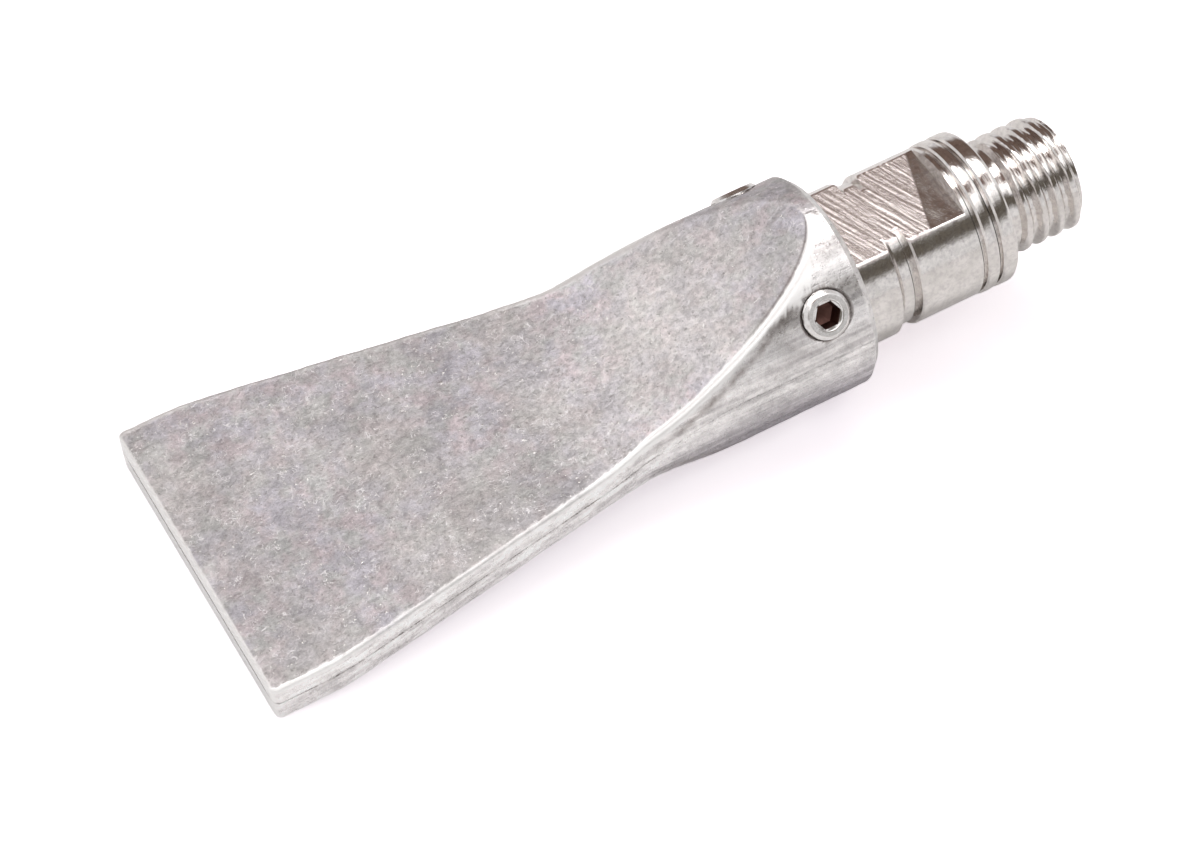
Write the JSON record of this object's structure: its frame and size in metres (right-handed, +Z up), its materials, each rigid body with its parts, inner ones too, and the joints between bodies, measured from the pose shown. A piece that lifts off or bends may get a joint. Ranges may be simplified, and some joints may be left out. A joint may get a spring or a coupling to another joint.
{
  "type": "fan nozzle head",
  "caption": "Flat fan-shaped cast nozzle head for surface cleaning, clamped by side set screws on a turned stem with a threaded stud, spanner flats and a feed bore.",
  "frame": {"origin": "on the stem's axis, in the plane of the shoulder that seats against the host", "axes": "+X along the threaded stud, away from the head; -X towards the slotted lip; +Z up, square to the flat fan; left is -Y and right is +Y, looking from the stud to the lip"},
  "size_m": [0.0773, 0.028, 0.018],
  "materials": {
    "cast_body": "blasted casting, matt, with polished rims",
    "bright_metal": "bright nickel, turned and milled",
    "screw_steel": "bright plated steel",
    "pad_brass": "turned",
    "seal_rubber": "moulded, matt"
  },
  "bodies": {
    "stem": {"stem_adapter": "bright_metal", "inner_o_ring": "seal_rubber", "outer_o_ring": "seal_rubber"},
    "head": {"upper_shell": "cast_body", "lower_shell": "cast_body", "left_dowel_pin": "bright_metal", "right_dowel_pin": "bright_metal"},
    "left_pad": {"left_thrust_pad": "pad_brass"},
    "left_screw": {"left_set_screw": "screw_steel"},
    "right_pad": {"right_thrust_pad": "pad_brass"},
    "right_screw": {"right_set_screw": "screw_steel"}
  },
  "joints": [
    {"name": "head_swivel", "type": "hinge", "parent": "stem", "child": "head", "pos_m": [-0.01435, 0, 0], "axis": [1, 0, 0], "continuous": true},
    {"name": "left_pad_slide", "type": "slide", "parent": "head", "child": "left_pad", "axis": [0, -0.7986, 0.6018], "range_m": [0, 0.00104]},
    {"name": "left_screw_turn", "type": "hinge", "parent": "left_pad", "child": "left_screw", "pos_m": [-0.0183, 0, 0], "axis": [0, -0.7986, 0.6018], "range_deg": [0, 540]},
    {"name": "right_pad_slide", "type": "slide", "parent": "head", "child": "right_pad", "axis": [0, 0.7986, 0.6018], "range_m": [0, 0.00104]},
    {"name": "right_screw_turn", "type": "hinge", "parent": "right_pad", "child": "right_screw", "pos_m": [-0.0183, 0, 0], "axis": [0, 0.7986, 0.6018], "range_deg": [0, 540]}
  ],
  "couplings": [
    {"joint": "left_screw_turn", "follows": "left_pad_slide", "rad_per_m": 8976},
    {"joint": "right_screw_turn", "follows": "right_pad_slide", "rad_per_m": 8976}
  ]
}
